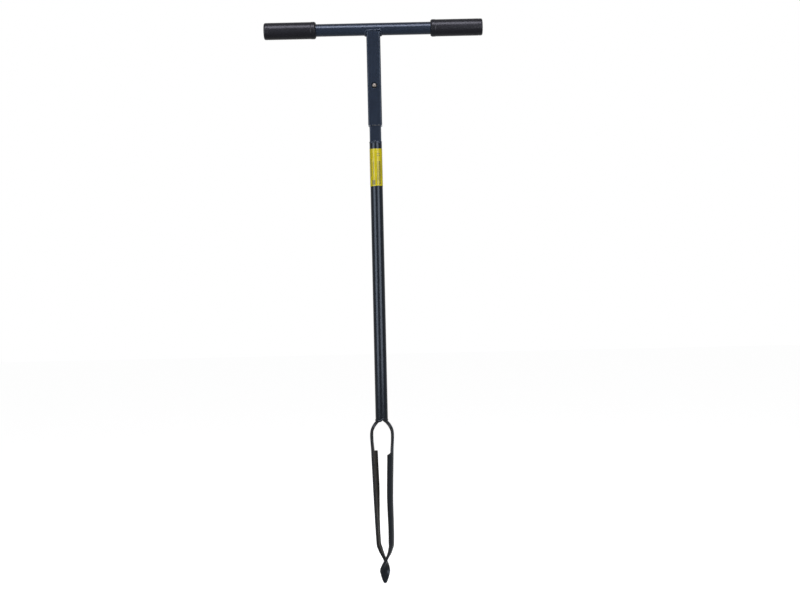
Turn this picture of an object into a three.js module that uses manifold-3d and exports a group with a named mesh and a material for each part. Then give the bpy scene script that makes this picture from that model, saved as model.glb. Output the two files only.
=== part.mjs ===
// A takedown soil auger. A T-handle of round tube stands on a square socket, which slips over
// the square spigot of the shaft and is locked there by a sprung button. The shaft ends in two
// bent blades, which hold the soil between them and are twisted together into a leaf point.
//
// Millimetres. The origin is the tip of the point, +Z runs up the shaft, +X lies along the
// handle to the right, and the button faces -Y.

import * as THREE from "three";
import { mergeVertices } from "three/addons/utils/BufferGeometryUtils.js";
import Module from "manifold-3d";

const wasm = await Module();
wasm.setup();

// ---- Driving dimensions ----

const GAP = 0.3; // between pieces that touch
const ROUND_SIDES = 48;

// The handle
const HANDLE_HEIGHT = 1200; // crossbar's axis above the tip
const HANDLE_LENGTH = 473; // over both grips
const GRIP_LENGTH = 112.5;
const GRIP_RADIUS = 18.2;
const GRIP_LIP_RADIUS = 18.6;
const GRIP_LIP_LENGTH = 10;
const GRIP_END_THICKNESS = 4;
const GRIP_ROUNDING = 3;

// The round tube of the crossbar and the shaft
const TUBE_RADIUS = 13.45;
const TUBE_WALL = 2.6;
const SHAFT_BOTTOM = 356;
const SHAFT_TOP = 955;

// The square socket and the square spigot inside it
const SOCKET_SIDE = 30;
const SOCKET_WALL = 2;
const SOCKET_CORNER = 2.6;
const SOCKET_BOTTOM = 990;
const SOCKET_TOP = HANDLE_HEIGHT - 7; // of its front and back walls, under their beads
const FACE_BEAD_RADIUS = 2.4; // of the beads on the socket's front and back walls
const FACE_BEAD_LENGTH = 34;
const FACE_BEAD_DEPTH = 0.9; // of their axes behind the outside of the wall
const FACE_BEAD_DROP = 4.7; // of their axes below the crossbar's
const SPIGOT_SIDE = 25;
const SPIGOT_WALL = 2;
const SPIGOT_CORNER = 2.4;
const SPIGOT_TOP = HANDLE_HEIGHT - TUBE_RADIUS - GAP; // it bears on the crossbar

// The snap button and its hairpin spring
const BUTTON_HEIGHT = 1076;
const BUTTON_RADIUS = 5;
const BUTTON_PROUD = 2.5; // how far its dome stands out of the socket
const BUTTON_FLANGE_RADIUS = 6.8;
const BUTTON_STEM_RADIUS = 2.4;
const SOCKET_HOLE_RADIUS = 6.4;
const SPIGOT_HOLE_RADIUS = 5.3;
const SPRING_THICKNESS = 0.9;
const SPRING_WIDTH = 14;
const SPRING_BEND_HEIGHT = 1121;
const SPRING_BEND_RADIUS = 6;
const SPRING_FOOT = 1063;

// The label
const LABEL_BOTTOM = 859;
const LABEL_TOP = 941.5;
const LABEL_THICKNESS = 0.25;
const LABEL_SEAM = THREE.MathUtils.degToRad(16); // bare strip at the back

// The blades: the right one, which the left one repeats half a turn round
const BLADE_THICKNESS = 6;
const SHOULDER_THICKENING = 0.6;
const TANG_HALF_WIDTH = 7.6;
const TANG_NARROWING = [337, 347]; // heights between which the arm narrows to its tang
const ARM_HALF_WIDTH = 10;
const WING_TOP = 283;
const WING_TOP_SLOPE = 0.4; // how far the wing's top edge drops per millimetre of its width
const WING_EDGE_HIGH = 22.4; // developed place of the wing's edge, high on the blade
const WING_EDGE_LOW = 18.7; // and just above the point
const WING_BEND_START = 3;
const WING_BEND_RADIUS = 18;
const POINT_HALF_WIDTH = 11;
const POINT_WIDEST = 26; // height of the leaf's widest place
const POINT_SEAM = 2.5; // from the axis to each blade's inner edge
const POINT_TWIST = THREE.MathUtils.degToRad(100);
const CROSSING = 52; // height where the blades pass each other
const BLADE_STEPS = 80;
const BLADE_ACROSS_STEPS = 8;

// ---- Finishes ----

const finish = (color, roughness, metalness) => ({ color, roughness, metalness });
const HANDLE_PAINT = finish("#2e3645", 0.45, 0.2);
const SHAFT_PAINT = finish("#232a31", 0.4, 0.2);
const GRIP_RUBBER = finish("#2a2b30", 0.6, 0);
const LABEL_FILM = finish("#c3b40a", 0.4, 0);
const BRIGHT_STEEL = finish("#a6a097", 0.3, 0.9);
const SPRING_STEEL = finish("#8a8d90", 0.35, 0.9);

// ---- Solids ----

// A closed geometry as a manifold solid: shared vertices merged, collapsed triangles dropped.
function solidOf(geometry) {
  const bare = geometry.clone();
  bare.deleteAttribute("normal");
  bare.deleteAttribute("uv");
  const merged = mergeVertices(bare, 1e-3);
  const triVerts = [];
  for (let i = 0; i < merged.index.count; i += 3) {
    const [a, b, c] = merged.index.array.slice(i, i + 3);
    if (a !== b && b !== c && c !== a) triVerts.push(a, b, c);
  }
  const mesh = new wasm.Mesh({
    numProp: 3,
    vertProperties: merged.attributes.position.array,
    triVerts: new Uint32Array(triVerts),
  });
  return new wasm.Manifold(mesh);
}

function geometryOf(solid) {
  const { vertProperties, triVerts } = solid.getMesh();
  const geometry = new THREE.BufferGeometry();
  geometry.setAttribute("position", new THREE.BufferAttribute(vertProperties, 3));
  geometry.setIndex(new THREE.BufferAttribute(triVerts, 1));
  geometry.computeVertexNormals();
  return geometry;
}

function box([x0, x1], [y0, y1], [z0, z1]) {
  const geometry = new THREE.BoxGeometry(x1 - x0, y1 - y0, z1 - z0);
  return geometry.translate((x0 + x1) / 2, (y0 + y1) / 2, (z0 + z1) / 2);
}

// Turns a profile of [radius, height] pairs about Z. It runs anticlockwise, from the lower end
// outwards and up, and closes on itself unless it starts and ends on the axis.
function turned(profile, sides = ROUND_SIDES) {
  const points = profile.map(([radius, height]) => new THREE.Vector2(radius, height));
  const onAxis = profile[0][0] === 0 && profile.at(-1)[0] === 0;
  if (!onAxis) points.push(points[0].clone());
  return new THREE.LatheGeometry(points, sides).rotateX(Math.PI / 2);
}

const alongX = (geometry) => geometry.rotateY(Math.PI / 2);
const towardsFront = (geometry) => geometry.rotateX(Math.PI / 2);

function tubeProfile(outer, wall, low, high) {
  const inner = outer - wall;
  return [
    [inner, low],
    [outer, low],
    [outer, high],
    [inner, high],
  ];
}

const rod = (radius, low, high) => turned([[0, low], [radius, low], [radius, high], [0, high]]);

// The crossbar's outside as a cutter, with the gap that its neighbours keep to it.
const crossbarCutter = () =>
  solidOf(alongX(rod(TUBE_RADIUS + GAP, -60, 60)).translate(0, 0, HANDLE_HEIGHT));

// ---- Square tubes ----

function roundedSquare(side, corner, path = new THREE.Shape()) {
  const half = side / 2;
  const flat = half - corner;
  path.moveTo(-flat, -half);
  path.lineTo(flat, -half);
  path.absarc(flat, -flat, corner, -Math.PI / 2, 0);
  path.lineTo(half, flat);
  path.absarc(flat, flat, corner, 0, Math.PI / 2);
  path.lineTo(-flat, half);
  path.absarc(-flat, flat, corner, Math.PI / 2, Math.PI);
  path.lineTo(-half, -flat);
  path.absarc(-flat, -flat, corner, Math.PI, 1.5 * Math.PI);
  return path;
}

function squareTube(side, wall, corner, low, high) {
  const outline = roundedSquare(side, corner);
  outline.holes.push(roundedSquare(side - 2 * wall, Math.max(corner - wall, 0.5), new THREE.Path()));
  const geometry = new THREE.ExtrudeGeometry(outline, {
    depth: high - low,
    bevelEnabled: false,
    curveSegments: 4,
  });
  return geometry.translate(0, 0, low);
}

// A round hole through the front wall only, at the button's height.
function frontHoleCutter(radius, side) {
  const depth = side / 2;
  return solidOf(towardsFront(rod(radius, depth - 5, depth + 5)).translate(0, 0, BUTTON_HEIGHT));
}

// ---- The handle ----

function crossbar() {
  const reach = HANDLE_LENGTH / 2 - GRIP_END_THICKNESS - GAP;
  return alongX(turned(tubeProfile(TUBE_RADIUS, TUBE_WALL, -reach, reach))).translate(0, 0, HANDLE_HEIGHT);
}

// A closed-end sleeve, modelled from its mouth at 0 to its closed end, then laid along X.
function grip(side) {
  const bore = TUBE_RADIUS + GAP;
  const lip = GRIP_LIP_RADIUS;
  const round = GRIP_ROUNDING;
  const profile = [
    [0, GRIP_LENGTH - GRIP_END_THICKNESS],
    [bore, GRIP_LENGTH - GRIP_END_THICKNESS],
    [bore, 0],
    [lip - 2.4, 0],
    [lip - 0.8, 1],
    [lip, 3],
    [lip, GRIP_LIP_LENGTH],
    [GRIP_RADIUS, GRIP_LIP_LENGTH + 1.5],
    [GRIP_RADIUS, GRIP_LENGTH - round],
    [GRIP_RADIUS - round * 0.3, GRIP_LENGTH - round * 0.3],
    [GRIP_RADIUS - round, GRIP_LENGTH],
    [0, GRIP_LENGTH],
  ];
  const mouth = HANDLE_LENGTH / 2 - GRIP_LENGTH;
  const sleeve = alongX(turned(profile)).translate(mouth, 0, 0);
  if (side < 0) sleeve.rotateZ(Math.PI);
  return sleeve.translate(0, 0, HANDLE_HEIGHT);
}

// The socket's side walls are coped to the crossbar. Its front and back walls end beside it, under
// their beads, so both faces are free all the way up.
function socketTube() {
  const tube = solidOf(squareTube(SOCKET_SIDE, SOCKET_WALL, SOCKET_CORNER, SOCKET_BOTTOM, SOCKET_TOP));
  const coped = tube.subtract(crossbarCutter());
  return geometryOf(coped.subtract(frontHoleCutter(SOCKET_HOLE_RADIUS, SOCKET_SIDE)));
}

// The bead along the top edge of the socket's front wall; face is -1 for the front, 1 for the back.
function handleFaceWeld(face) {
  const end = FACE_BEAD_LENGTH / 2;
  const profile = [
    [0, -end],
    [FACE_BEAD_RADIUS * 0.6, -end + 0.4],
    [FACE_BEAD_RADIUS, -end + 2],
    [FACE_BEAD_RADIUS, end - 2],
    [FACE_BEAD_RADIUS * 0.6, end - 0.4],
    [0, end],
  ];
  const reach = SOCKET_SIDE / 2 - FACE_BEAD_DEPTH;
  const bead = alongX(turned(profile, 16)).translate(0, -reach, HANDLE_HEIGHT - FACE_BEAD_DROP);
  if (face > 0) bead.rotateZ(Math.PI);
  const half = SOCKET_SIDE / 2 + GAP;
  const wall = solidOf(box([-20, 20], [-half, half], [SOCKET_TOP - 5, SOCKET_TOP + GAP]));
  return geometryOf(solidOf(bead).subtract(crossbarCutter()).subtract(wall));
}

// The fillet under the crossbar, against the socket's left (-1) or right (1) wall.
function handleSideWeld(side) {
  const inner = TUBE_RADIUS + GAP;
  const wall = SOCKET_SIDE / 2 + GAP;
  const section = [
    [inner, wall],
    [inner + 4.2, wall],
    [inner + 2.7, wall + 1.8],
    [inner + 1.2, wall + 3.9],
    [inner, wall + 6],
  ];
  const ring = alongX(turned(section));
  if (side < 0) ring.rotateZ(Math.PI);
  ring.translate(0, 0, HANDLE_HEIGHT);
  const reach = SOCKET_SIDE / 2 - SOCKET_CORNER - 1;
  const under = solidOf(box([-60, 60], [-reach, reach], [HANDLE_HEIGHT - 60, HANDLE_HEIGHT]));
  return geometryOf(solidOf(ring).intersect(under));
}

// ---- The spigot, its button and spring ----

function spigotTube() {
  const tube = squareTube(SPIGOT_SIDE, SPIGOT_WALL, SPIGOT_CORNER, SHAFT_TOP + GAP, SPIGOT_TOP);
  return geometryOf(solidOf(tube).subtract(frontHoleCutter(SPIGOT_HOLE_RADIUS, SPIGOT_SIDE)));
}

// The bead round the butt joint of the square spigot and the round shaft.
function spigotWeld() {
  const radius = 2.6;
  const centre = TUBE_RADIUS + 0.1;
  const section = [];
  for (let i = 0; i < 10; i++) {
    const angle = (i / 10) * 2 * Math.PI;
    section.push([centre + radius * Math.cos(angle), SHAFT_TOP + radius * Math.sin(angle)]);
  }
  const half = SPIGOT_SIDE / 2 + GAP;
  const spigot = solidOf(box([-half, half], [-half, half], [SHAFT_TOP - 1, SHAFT_TOP + 20]));
  const shaft = solidOf(rod(TUBE_RADIUS + GAP, SHAFT_TOP - 20, SHAFT_TOP + GAP));
  return geometryOf(solidOf(turned(section)).subtract(spigot).subtract(shaft));
}

// A domed pin with a flange behind the spigot's wall and a stem through the spring.
function snapButton() {
  const peak = SOCKET_SIDE / 2 + BUTTON_PROUD;
  const wallInside = SPIGOT_SIDE / 2 - SPIGOT_WALL;
  const flangeFront = wallInside - GAP;
  const flangeBack = flangeFront - 1.2;
  const stemBack = flangeBack - SPRING_THICKNESS - 0.9;
  const shoulder = peak - 3.2;
  const profile = [
    [0, stemBack],
    [BUTTON_STEM_RADIUS, stemBack],
    [BUTTON_STEM_RADIUS, flangeBack],
    [BUTTON_FLANGE_RADIUS, flangeBack],
    [BUTTON_FLANGE_RADIUS, flangeFront],
    [BUTTON_RADIUS, flangeFront],
    [BUTTON_RADIUS, shoulder],
  ];
  const domeSteps = 5;
  for (let i = 1; i <= domeSteps; i++) {
    const angle = (i / domeSteps) * (Math.PI / 2);
    const radius = i === domeSteps ? 0 : BUTTON_RADIUS * Math.cos(angle);
    profile.push([radius, shoulder + (peak - shoulder) * Math.sin(angle)]);
  }
  return towardsFront(turned(profile, 32)).translate(0, 0, BUTTON_HEIGHT);
}

// A strip of constant thickness along a row of points, as a closed outline.
function stripOutline(points, thickness) {
  const sides = [1, -1].map((side) =>
    points.map((point, i) => {
      const before = points[Math.max(i - 1, 0)];
      const after = points[Math.min(i + 1, points.length - 1)];
      const along = after.clone().sub(before).normalize();
      return new THREE.Vector2(-along.y, along.x).multiplyScalar((side * thickness) / 2).add(point);
    }),
  );
  return new THREE.Shape([...sides[0], ...sides[1].reverse()]);
}

// The hairpin lies in the YZ plane: its front leg carries the button, its back leg bears on
// the spigot's back wall.
function snapSpring() {
  const flangeBack = SPIGOT_SIDE / 2 - SPIGOT_WALL - GAP - 1.2;
  const front = -(flangeBack - 0.1 - SPRING_THICKNESS / 2);
  const back = SPIGOT_SIDE / 2 - SPIGOT_WALL - GAP - SPRING_THICKNESS / 2;
  const points = [new THREE.Vector2(front, SPRING_FOOT)];
  points.push(new THREE.Vector2(front, BUTTON_HEIGHT + BUTTON_FLANGE_RADIUS + 2));
  const bendSteps = 8;
  for (let i = 0; i <= bendSteps; i++) {
    const angle = Math.PI * (1 - i / bendSteps);
    const y = SPRING_BEND_RADIUS * Math.cos(angle);
    const z = SPRING_BEND_HEIGHT + SPRING_BEND_RADIUS * Math.sin(angle);
    points.push(new THREE.Vector2(y, z));
  }
  points.push(new THREE.Vector2(back, SPRING_FOOT));
  const strip = new THREE.ExtrudeGeometry(stripOutline(points, SPRING_THICKNESS), {
    depth: SPRING_WIDTH,
    bevelEnabled: false,
  });
  // The outline's x, y and depth become the part's Y, Z and X.
  const turn = new THREE.Matrix4().makeBasis(
    new THREE.Vector3(0, 1, 0),
    new THREE.Vector3(0, 0, 1),
    new THREE.Vector3(1, 0, 0),
  );
  strip.applyMatrix4(turn).translate(-SPRING_WIDTH / 2, 0, 0);
  const stemHole = towardsFront(rod(BUTTON_STEM_RADIUS + GAP, 4, 12)).translate(0, 0, BUTTON_HEIGHT);
  return geometryOf(solidOf(strip).subtract(solidOf(stemHole)));
}

// ---- The shaft and its label ----

const shaftTube = () => turned(tubeProfile(TUBE_RADIUS, TUBE_WALL, SHAFT_BOTTOM, SHAFT_TOP));

// A thin film wrapped round the shaft, with its two ends a little apart at the back.
function label() {
  const inner = TUBE_RADIUS + 0.15;
  const outer = inner + LABEL_THICKNESS;
  const start = Math.PI / 2 + LABEL_SEAM / 2;
  const end = start + 2 * Math.PI - LABEL_SEAM;
  const film = new THREE.Shape();
  film.absarc(0, 0, outer, start, end);
  film.absarc(0, 0, inner, end, start, true);
  const geometry = new THREE.ExtrudeGeometry(film, {
    depth: LABEL_TOP - LABEL_BOTTOM,
    bevelEnabled: false,
    curveSegments: ROUND_SIDES,
  });
  return geometry.translate(0, 0, LABEL_BOTTOM);
}

// ---- The blades ----

const rising = (height, low, high) => THREE.MathUtils.smoothstep(height, low, high);
const falling = (height, low, high) => 1 - rising(height, low, high);

// The right blade's spine in the XZ plane, from its tang inside the shaft down to the tip.
const BLADE_SPINE = new THREE.CatmullRomCurve3(
  [
    [3.6, 382],
    [3.6, 372],
    [3.6, 364],
    [3.6, 358.4],
    [5.2, 353.7],
    [9.6, 350.2],
    [15.2, 343.8],
    [19.2, 337.2],
    [21.6, 330.6],
    [22.4, 323],
    [22.2, 309],
    [21.4, 289],
    [20.7, 263],
    [19.4, 223],
    [18.1, 179],
    [17.3, 130],
    [16.6, 98],
    [15.5, 81],
    [13.3, 74.7],
    [10.9, 68],
    [7.5, 61.7],
    [3.6, 55],
    [1, 49],
    [0, 43],
    [0, 20],
    [0, 0],
  ].map(([x, z]) => new THREE.Vector3(x, 0, z)),
);

// The leaf point's outer half width at a height, which is no limit above its widest place.
function leafHalfWidth(height) {
  if (height > POINT_WIDEST) return Infinity;
  return POINT_HALF_WIDTH * Math.sqrt((Math.max(height, 0) + 0.2) / POINT_WIDEST);
}

// The blade's two edges at a height, as places on its developed width: its straight back
// edge, and its front edge, which is the wing's.
function backEdge(height) {
  const tangRelief = (ARM_HALF_WIDTH - TANG_HALF_WIDTH) * rising(height, ...TANG_NARROWING);
  const taper = (ARM_HALF_WIDTH + POINT_SEAM) * falling(height, CROSSING + 4, 125);
  return Math.min(tangRelief + taper - ARM_HALF_WIDTH, 0.28 * leafHalfWidth(height));
}

function frontEdge(height) {
  const tangRelief = (ARM_HALF_WIDTH - TANG_HALF_WIDTH) * rising(height, ...TANG_NARROWING);
  if (height > WING_TOP + 20) return ARM_HALF_WIDTH - tangRelief;
  const wing =
    WING_EDGE_HIGH -
    (WING_EDGE_HIGH - WING_EDGE_LOW) * falling(height, 130, 190) -
    (WING_EDGE_LOW - POINT_HALF_WIDTH) * falling(height, CROSSING - 4, 92) -
    (WING_EDGE_HIGH - ARM_HALF_WIDTH) * rising(height, WING_TOP + 8, WING_TOP + 18);
  return Math.min(wing, leafHalfWidth(height));
}

function thickness(height) {
  const shoulder = SHOULDER_THICKENING * rising(height, 290, 325) * falling(height, 346, 354);
  return BLADE_THICKNESS + shoulder - 2.8 * falling(height, 0, 45);
}

const twist = (height) => POINT_TWIST * falling(height, 8, CROSSING + 4);

// The curvature of the wing across the blade: the arms above it and the point below are flat.
function wingBend(height) {
  const share = rising(height, 46, 70) * falling(height, WING_TOP + 2, WING_TOP + 30);
  return Math.max(share / WING_BEND_RADIUS, 1e-4);
}

// A point of the right blade. share runs down the spine from 0 to 1, place is the distance
// across the developed width, and depth is the distance out from the plate's middle.
function bladePoint(share, place, depth) {
  const centre = BLADE_SPINE.getPointAt(share);
  const down = BLADE_SPINE.getTangentAt(share);
  const angle = twist(centre.z);
  const across = new THREE.Vector3(-Math.sin(angle), -Math.cos(angle), 0);
  const outward = new THREE.Vector3().crossVectors(across, down).normalize();
  const bend = wingBend(centre.z);
  const turn = Math.max(place - WING_BEND_START, 0) * bend;
  const straight = Math.min(place, WING_BEND_START);
  const face = outward.clone().multiplyScalar(Math.cos(turn)).addScaledVector(across, Math.sin(turn));
  return centre
    .addScaledVector(across, straight + Math.sin(turn) / bend)
    .addScaledVector(outward, (Math.cos(turn) - 1) / bend)
    .addScaledVector(face, depth);
}

// The right blade's plate before its wing is cut back: a box bent along the spine. grow
// thickens it on every face, which makes it a cutter for its neighbours.
function bentPlate(grow = 0) {
  const geometry = new THREE.BoxGeometry(1, 1, 1, BLADE_ACROSS_STEPS, 1, BLADE_STEPS);
  const { position } = geometry.attributes;
  for (let i = 0; i < position.count; i++) {
    const share = 0.5 - position.getZ(i);
    const height = BLADE_SPINE.getPointAt(share).z;
    const low = backEdge(height) - grow;
    const high = frontEdge(height) + grow;
    const place = THREE.MathUtils.lerp(low, high, position.getX(i) + 0.5);
    const point = bladePoint(share, place, position.getY(i) * (thickness(height) + 2 * grow));
    position.setXYZ(i, point.x, point.y, point.z);
  }
  return geometry;
}

// Where the spine reaches a height, as a share of its length.
function shareAt(height) {
  let low = 0;
  let high = 1;
  for (let i = 0; i < 40; i++) {
    const middle = (low + high) / 2;
    if (BLADE_SPINE.getPointAt(middle).z > height) low = middle;
    else high = middle;
  }
  return low;
}

// The plate is cut back to the arm's width above the wing, along a sloping edge.
function blade(side) {
  const notch = new THREE.BoxGeometry(1, 1, 1, 10, 1, 6);
  const { position } = notch.attributes;
  for (let i = 0; i < position.count; i++) {
    const place = ARM_HALF_WIDTH + 20 * (position.getX(i) + 0.5);
    const bottom = WING_TOP - WING_TOP_SLOPE * (place - ARM_HALF_WIDTH);
    const height = THREE.MathUtils.lerp(bottom, WING_TOP + 22, position.getZ(i) + 0.5);
    const point = bladePoint(shareAt(height), place, position.getY(i) * 14);
    position.setXYZ(i, point.x, point.y, point.z);
  }
  const cut = geometryOf(solidOf(bentPlate()).subtract(solidOf(notch)));
  return side < 0 ? cut.rotateZ(Math.PI) : cut;
}

// A blade grown by the gap all round, as a cutter for the welds at its root.
function bladeCutter(side) {
  const grown = bentPlate(GAP);
  return solidOf(side < 0 ? grown.rotateZ(Math.PI) : grown);
}

// ---- The welds of the blades ----

// Fills the shoulder between the shaft's rim and the outside of an arm.
function yokeSideWeld(side) {
  const top = SHAFT_BOTTOM - GAP;
  const filled = new THREE.Shape(
    [
      [4, top],
      [12, 345.5],
      [16.8, 344.5],
      [14, 352.5],
      [TUBE_RADIUS, top],
    ].map(([x, z]) => new THREE.Vector2(x, z)),
  );
  const width = 2 * TANG_HALF_WIDTH;
  const wedge = new THREE.ExtrudeGeometry(filled, { depth: width, bevelEnabled: false });
  wedge.rotateX(Math.PI / 2).translate(0, width / 2, 0);
  const rounded = turned([[0, 340], [19, 340], [16.9, 345], [14.3, 352], [TUBE_RADIUS, top], [0, top]]);
  const weld = solidOf(wedge).intersect(solidOf(rounded)).subtract(bladeCutter(1));
  const geometry = geometryOf(weld);
  return side < 0 ? geometry.rotateZ(Math.PI) : geometry;
}

// The bead across the shaft's end in front of the arms (-1) or behind them (1).
function yokeFaceWeld(face) {
  const section = [];
  for (let i = 0; i < 8; i++) {
    const angle = (i / 8) * 2 * Math.PI;
    section.push([12.3 + 2.4 * Math.cos(angle), SHAFT_BOTTOM - 1.4 + 2.4 * Math.sin(angle)]);
  }
  const ring = solidOf(turned(section));
  const front = solidOf(box([-6.5, 6.5], [-20, -6], [340, SHAFT_BOTTOM - GAP]));
  const bead = ring.intersect(front).subtract(bladeCutter(1)).subtract(bladeCutter(-1));
  const geometry = geometryOf(bead);
  return face > 0 ? geometry.rotateZ(Math.PI) : geometry;
}

// The weld metal between the two blades of the point: a twisted rod of oval section.
function pointWeld() {
  const low = 5;
  const high = CROSSING + 2;
  const geometry = new THREE.CylinderGeometry(1, 1, 1, 14, 22);
  const { position } = geometry.attributes;
  for (let i = 0; i < position.count; i++) {
    const share = position.getY(i) + 0.5;
    const height = THREE.MathUtils.lerp(low, high, share);
    const angle = twist(height);
    const rounding = Math.sqrt(Math.min(1, 8 * share + 0.1, 8 * (1 - share) + 0.1));
    const across = position.getX(i) * (backEdge(height) - GAP) * rounding;
    const out = -position.getZ(i) * (thickness(height) / 2 + 0.7) * rounding;
    const x = -Math.sin(angle) * across + Math.cos(angle) * out;
    const y = -Math.cos(angle) * across - Math.sin(angle) * out;
    position.setXYZ(i, x, y, height);
  }
  return geometry;
}

// ---- The assembly ----

const auger = new THREE.Group();
const handle = new THREE.Group();
auger.add(handle);

function add(group, name, geometry, look) {
  const mesh = new THREE.Mesh(geometry, new THREE.MeshStandardMaterial(look));
  mesh.name = name;
  group.add(mesh);
}

add(handle, "crossbar", crossbar(), HANDLE_PAINT);
add(handle, "left_grip", grip(-1), GRIP_RUBBER);
add(handle, "right_grip", grip(1), GRIP_RUBBER);
add(handle, "socket_tube", socketTube(), HANDLE_PAINT);
add(handle, "handle_weld_front", handleFaceWeld(-1), HANDLE_PAINT);
add(handle, "handle_weld_back", handleFaceWeld(1), HANDLE_PAINT);
add(handle, "handle_weld_left", handleSideWeld(-1), HANDLE_PAINT);
add(handle, "handle_weld_right", handleSideWeld(1), HANDLE_PAINT);

add(auger, "spigot_tube", spigotTube(), HANDLE_PAINT);
add(auger, "spigot_weld", spigotWeld(), HANDLE_PAINT);
add(auger, "snap_button", snapButton(), BRIGHT_STEEL);
add(auger, "snap_spring", snapSpring(), SPRING_STEEL);
add(auger, "shaft_tube", shaftTube(), SHAFT_PAINT);
add(auger, "label", label(), LABEL_FILM);
add(auger, "left_blade", blade(-1), SHAFT_PAINT);
add(auger, "right_blade", blade(1), SHAFT_PAINT);
add(auger, "yoke_weld_left", yokeSideWeld(-1), SHAFT_PAINT);
add(auger, "yoke_weld_right", yokeSideWeld(1), SHAFT_PAINT);
add(auger, "yoke_weld_front", yokeFaceWeld(-1), SHAFT_PAINT);
add(auger, "yoke_weld_back", yokeFaceWeld(1), SHAFT_PAINT);
add(auger, "point_weld", pointWeld(), SHAFT_PAINT);

export default auger;
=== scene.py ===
"""A takedown soil auger with a T-handle: finer pieces, finishes and a studio around its frame.

The frame gives every size and place in metres: +Z runs up the shaft from the tip of the point,
+X lies along the handle to the right, and the lock button faces -Y.
"""

import bisect
import math
import random

import bmesh
import bpy
from mathutils import Matrix, Vector, noise


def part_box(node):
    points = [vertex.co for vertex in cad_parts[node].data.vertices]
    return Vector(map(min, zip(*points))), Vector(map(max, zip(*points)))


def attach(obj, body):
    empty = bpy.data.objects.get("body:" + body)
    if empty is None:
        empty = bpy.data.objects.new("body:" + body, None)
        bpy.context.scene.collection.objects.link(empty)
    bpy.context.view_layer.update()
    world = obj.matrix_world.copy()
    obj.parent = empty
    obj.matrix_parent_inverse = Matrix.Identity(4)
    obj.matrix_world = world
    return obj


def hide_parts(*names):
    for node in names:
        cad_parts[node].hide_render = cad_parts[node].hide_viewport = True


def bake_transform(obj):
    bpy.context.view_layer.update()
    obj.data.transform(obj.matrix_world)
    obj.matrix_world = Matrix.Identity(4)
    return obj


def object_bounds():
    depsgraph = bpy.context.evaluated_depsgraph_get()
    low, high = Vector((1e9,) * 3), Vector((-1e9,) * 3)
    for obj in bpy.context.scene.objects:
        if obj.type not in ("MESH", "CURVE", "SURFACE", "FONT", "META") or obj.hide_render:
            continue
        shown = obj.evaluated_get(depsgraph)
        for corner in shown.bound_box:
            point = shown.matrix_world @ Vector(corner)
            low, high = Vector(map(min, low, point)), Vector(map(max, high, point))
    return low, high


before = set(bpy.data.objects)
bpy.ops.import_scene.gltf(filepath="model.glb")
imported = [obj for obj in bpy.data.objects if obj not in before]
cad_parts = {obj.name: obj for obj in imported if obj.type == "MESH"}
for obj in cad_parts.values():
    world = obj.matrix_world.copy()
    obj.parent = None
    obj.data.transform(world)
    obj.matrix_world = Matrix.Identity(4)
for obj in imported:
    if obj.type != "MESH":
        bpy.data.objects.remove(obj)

bl_info = {
    "name": "Soil auger",
    "version": (1, 0, 0),
    "blender": (4, 5, 0),
    "location": "3D View > Sidebar > Auger",
    "description": "Builds the pieces, finishes and studio of a takedown soil auger",
    "category": "Add Mesh",
}

CAD_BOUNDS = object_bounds()
MM = 0.001
X_AXIS = Vector((1, 0, 0))
Y_AXIS = Vector((0, 1, 0))
Z_AXIS = Vector((0, 0, 1))
HALF_TURN = Matrix.Rotation(math.pi, 4, "Z")


def middle(node):
    """The middle of a node of the frame."""
    low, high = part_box(node)
    return (low + high) / 2


def extent(node):
    """The size of a node of the frame along X, Y and Z."""
    low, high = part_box(node)
    return high - low


# ---- Sizes and colours that a user would change ----


def linear(code):
    """An sRGB hex colour as linear red, green and blue."""
    channels = [int(code[i : i + 2], 16) / 255 for i in (1, 3, 5)]
    return [c / 12.92 if c <= 0.04045 else ((c + 0.055) / 1.055) ** 2.4 for c in channels]


def length(name, description, default):
    """A length property in metres."""
    return bpy.props.FloatProperty(
        name=name, description=description, default=default, min=0, unit="LENGTH", precision=5
    )


def power(name, description, default):
    """A lamp's power in watts."""
    return bpy.props.FloatProperty(
        name=name, description=description, default=default, min=0, unit="POWER"
    )


def colour(name, description, code):
    """A colour property, given as sRGB hex."""
    return bpy.props.FloatVectorProperty(
        name=name, description=description, default=linear(code), subtype="COLOR", min=0, max=1
    )


class AugerSizes(bpy.types.PropertyGroup):
    """Sizes of the pieces that the frame's boxes don't give."""

    tube_wall: length("Tube wall", "Wall of the round tubes", 2.6 * MM)
    square_wall: length("Square wall", "Wall of the square tubes", 2 * MM)
    socket_corner: length("Socket corner", "Outer corner radius of the socket", 3.2 * MM)
    spigot_corner: length("Spigot corner", "Outer corner radius of the spigot", 2.8 * MM)
    socket_hole: length("Socket hole", "Radius of the button's hole in the socket", 6.4 * MM)
    spigot_hole: length("Spigot hole", "Radius of the button's hole in the spigot", 5.3 * MM)
    cut_edge: length("Cut edge", "Rounding of sawn and drilled edges", 0.35 * MM)
    grip_rounding: length("Grip rounding", "Rounding of a grip's closed end", 3.6 * MM)
    button_radius: length("Button radius", "Radius of the lock button", 5 * MM)
    bead_pitch: length("Bead pitch", "Length of one ripple of a weld bead", 5.4 * MM)
    blade_edge: length("Blade edge", "Rounding of the blades' edges", 0.9 * MM)


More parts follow.
